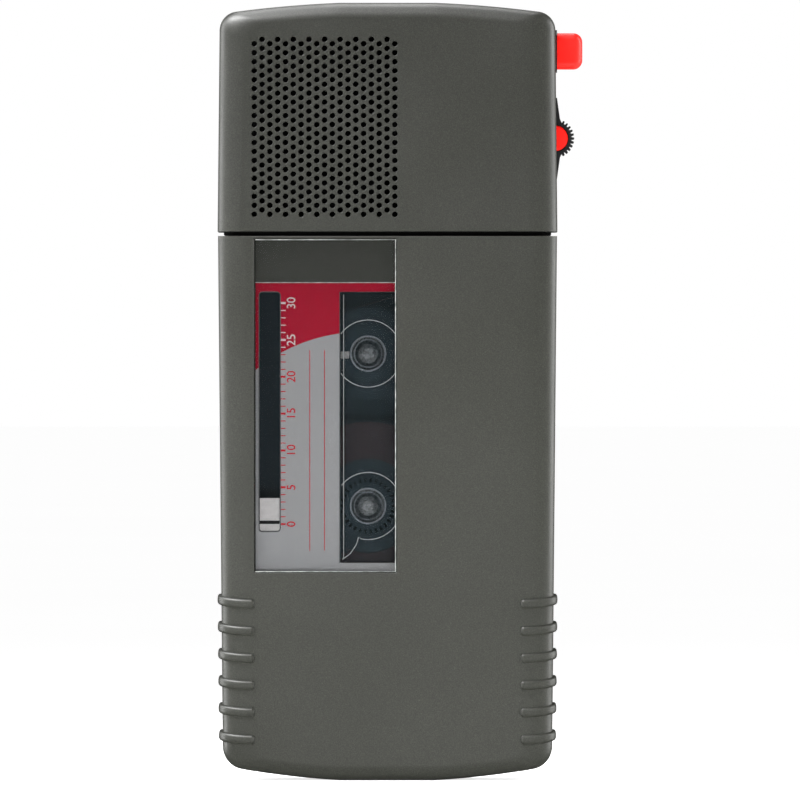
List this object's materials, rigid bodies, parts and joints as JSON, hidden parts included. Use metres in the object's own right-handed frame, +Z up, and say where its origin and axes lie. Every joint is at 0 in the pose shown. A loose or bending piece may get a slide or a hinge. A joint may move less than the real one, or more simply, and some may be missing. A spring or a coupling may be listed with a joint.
{
  "type": "cassette dictation machine",
  "caption": "Upright hand-held dictation machine with a speaker, a hinged lid that carries an index cassette, a record button and a thumb slide on the side.",
  "frame": {"origin": "middle of the small flat under the lower end, which the machine stands on", "axes": "+Z up along the length, -Y the front with the cassette window, +X the side with the record button"},
  "size_m": [0.0621, 0.0246, 0.132],
  "materials": {
    "shell": "fine moulded grain, warm dark grey",
    "black_plastic": "black moulded plastic",
    "red_plastic": "bright red, satin gloss",
    "smoked_pane": "smoked transparent plastic",
    "clear_plastic": "clear, faintly blue plastic",
    "label_print": "printed label, red above silver grey",
    "pale_plastic": "pale grey moulded plastic",
    "steel": "plain bright steel",
    "brass": "bare brass",
    "rubber": "black rubber",
    "tape_film": "dark brown tape",
    "circuit_board": "green lacquered board",
    "speaker_paper": "black paper",
    "cell_wrap": "plain blue metal jacket"
  },
  "bodies": {
    "housing": {"upper_front_cover": "shell", "upper_rear_cover": "shell", "lower_rear_cover": "shell", "divider_plate": "black_plastic", "button_collar": "black_plastic", "side_bezel": "black_plastic", "record_switch": "black_plastic", "slide_switch": "black_plastic", "volume_control": "steel", "speaker_frame": "steel", "speaker_cone": "speaker_paper", "speaker_magnet": "steel", "microphone": "steel", "record_lamp": "red_plastic", "earphone_socket": "steel", "deck_plate": "steel", "drive_motor": "steel", "motor_belt": "rubber", "play_belt": "rubber", "main_board": "circuit_board", "battery_tray": "black_plastic", "battery_lower": "cell_wrap", "battery_upper": "cell_wrap", "contact_spring_lower": "brass", "contact_spring_upper": "brass", "case_screw_1": "steel", "case_screw_2": "steel", "case_screw_3": "steel", "case_screw_4": "steel", "lid_hinge_pin": "steel"},
    "lid": {"cassette_lid": "shell", "window_pane": "smoked_pane", "cassette_front_shell": "black_plastic", "cassette_rear_shell": "black_plastic", "cassette_label": "label_print", "cassette_window": "clear_plastic", "tape_run": "tape_film", "guide_pin_upper": "steel", "guide_pin_lower": "steel"},
    "record_button": {"record_button": "red_plastic"},
    "slide": {"slide_thumb": "black_plastic", "slide_inlay": "red_plastic"},
    "volume_wheel": {"volume_wheel": "black_plastic"},
    "lid_release": {"lid_release": "shell"},
    "battery_door": {"battery_door": "shell"},
    "head_carriage": {"head_carriage": "steel", "tape_head": "steel"},
    "pinch_roller": {"pinch_roller": "rubber"},
    "flywheel": {"capstan_flywheel": "steel"},
    "motor_pulley": {"motor_pulley": "brass"},
    "idler_gear": {"idler_gear": "pale_plastic"},
    "take_up_spindle": {"take_up_spindle": "pale_plastic"},
    "supply_spindle": {"supply_spindle": "pale_plastic"},
    "lower_reel": {"lower_reel": "black_plastic", "tape_pack": "tape_film"},
    "upper_reel": {"upper_reel": "black_plastic"},
    "index_gear": {"index_gear": "pale_plastic"},
    "index_pointer": {"index_pointer": "pale_plastic"}
  },
  "joints": [
    {"name": "lid_hinge", "type": "hinge", "parent": "housing", "child": "lid", "pos_m": [0, -0.0035, 0.0027], "axis": [1, 0, 0], "range_deg": [0, 45]},
    {"name": "record_press", "type": "slide", "parent": "housing", "child": "record_button", "axis": [-1, 0, 0], "range_m": [0, 0.0018], "stiffness_N_per_m": 400},
    {"name": "slide_travel", "type": "slide", "parent": "housing", "child": "slide", "axis": [0, 0, 1], "range_m": [-0.004, 0.003]},
    {"name": "volume_turn", "type": "hinge", "parent": "housing", "child": "volume_wheel", "pos_m": [-0.0206, 0.006, 0.104], "axis": [0, 1, 0], "range_deg": [-135, 135]},
    {"name": "lid_release_travel", "type": "slide", "parent": "housing", "child": "lid_release", "axis": [0, 0, -1], "range_m": [0, 0.003], "stiffness_N_per_m": 200},
    {"name": "battery_door_travel", "type": "slide", "parent": "housing", "child": "battery_door", "axis": [0, 0, -1], "range_m": [0, 0.024]},
    {"name": "head_shift", "type": "slide", "parent": "housing", "child": "head_carriage", "axis": [-1, 0, 0], "range_m": [0, 0.0025], "stiffness_N_per_m": 300},
    {"name": "pinch_roller_spin", "type": "hinge", "parent": "head_carriage", "child": "pinch_roller", "pos_m": [0.0215, 0, 0.05], "axis": [0, 1, 0], "continuous": true},
    {"name": "flywheel_spin", "type": "hinge", "parent": "housing", "child": "flywheel", "pos_m": [0.0152, 0, 0.05], "axis": [0, 1, 0], "continuous": true},
    {"name": "motor_spin", "type": "hinge", "parent": "housing", "child": "motor_pulley", "pos_m": [0.014, 0, 0.0785], "axis": [0, 1, 0], "continuous": true},
    {"name": "idler_spin", "type": "hinge", "parent": "housing", "child": "idler_gear", "pos_m": [-0.0075, 0, 0.0393], "axis": [0, 1, 0], "continuous": true},
    {"name": "take_up_spin", "type": "hinge", "parent": "housing", "child": "take_up_spindle", "pos_m": [-0.0033, 0, 0.04657], "axis": [0, 1, 0], "continuous": true},
    {"name": "supply_spin", "type": "hinge", "parent": "housing", "child": "supply_spindle", "pos_m": [-0.0033, 0, 0.07245], "axis": [0, 1, 0], "continuous": true},
    {"name": "lower_reel_spin", "type": "hinge", "parent": "lid", "child": "lower_reel", "pos_m": [-0.0033, 0, 0.04657], "axis": [0, 1, 0], "continuous": true},
    {"name": "upper_reel_spin", "type": "hinge", "parent": "lid", "child": "upper_reel", "pos_m": [-0.0033, 0, 0.07245], "axis": [0, 1, 0], "continuous": true},
    {"name": "index_gear_spin", "type": "hinge", "parent": "lid", "child": "index_gear", "pos_m": [-0.0097, 0, 0.04081], "axis": [0, 1, 0], "continuous": true},
    {"name": "index_travel", "type": "slide", "parent": "lid", "child": "index_pointer", "axis": [0, 0, 1], "range_m": [0, 0.0375]}
  ],
  "couplings": [
    {"joint": "motor_spin", "follows": "flywheel_spin", "ratio": 5.35},
    {"joint": "idler_spin", "follows": "flywheel_spin", "ratio": 0.76471},
    {"joint": "take_up_spin", "follows": "flywheel_spin", "ratio": -0.5098},
    {"joint": "supply_spin", "follows": "flywheel_spin", "ratio": -0.92281},
    {"joint": "lower_reel_spin", "follows": "flywheel_spin", "ratio": -0.5098},
    {"joint": "upper_reel_spin", "follows": "flywheel_spin", "ratio": -0.92281},
    {"joint": "index_gear_spin", "follows": "flywheel_spin", "ratio": 0.79657}
  ]
}
